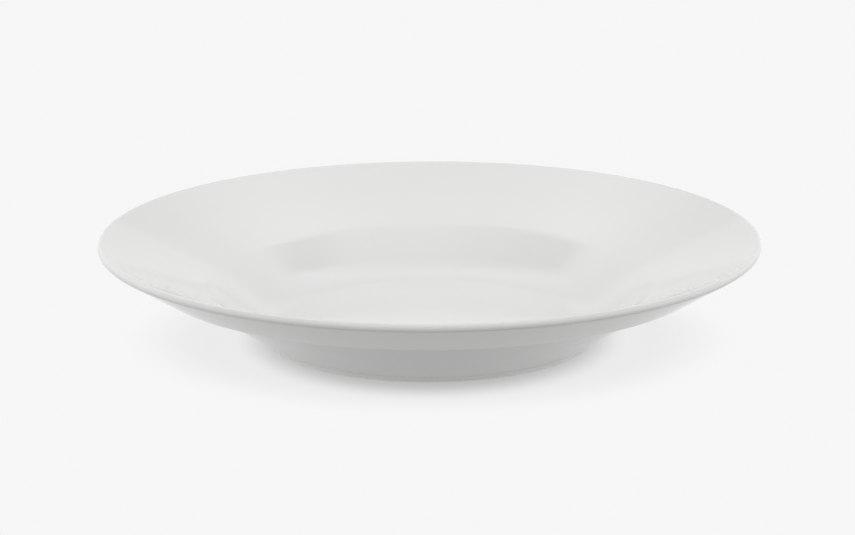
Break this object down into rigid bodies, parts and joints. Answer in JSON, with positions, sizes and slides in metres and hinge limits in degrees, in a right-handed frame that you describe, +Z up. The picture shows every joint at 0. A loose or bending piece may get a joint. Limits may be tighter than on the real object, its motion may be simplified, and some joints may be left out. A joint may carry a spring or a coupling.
{
  "type": "deep plate",
  "caption": "Round deep plate of white glazed porcelain: wide sloping rim with a rounded edge, sunken well for soup or pasta, and a low foot ring left bare.",
  "frame": {"origin": "on the table, in the middle of the foot ring", "axes": "+Z up along the plate's axis of revolution; the plate is round, so X and Y are alike"},
  "size_m": [0.24, 0.24, 0.0377],
  "materials": {
    "bare_porcelain": "fired porcelain, matt and slightly grainy where it is bare",
    "glaze": "white, clear high-gloss glaze"
  },
  "bodies": {
    "root": {"porcelain_body": "bare_porcelain", "face_glaze": "glaze", "base_glaze": "glaze"}
  },
  "joints": []
}
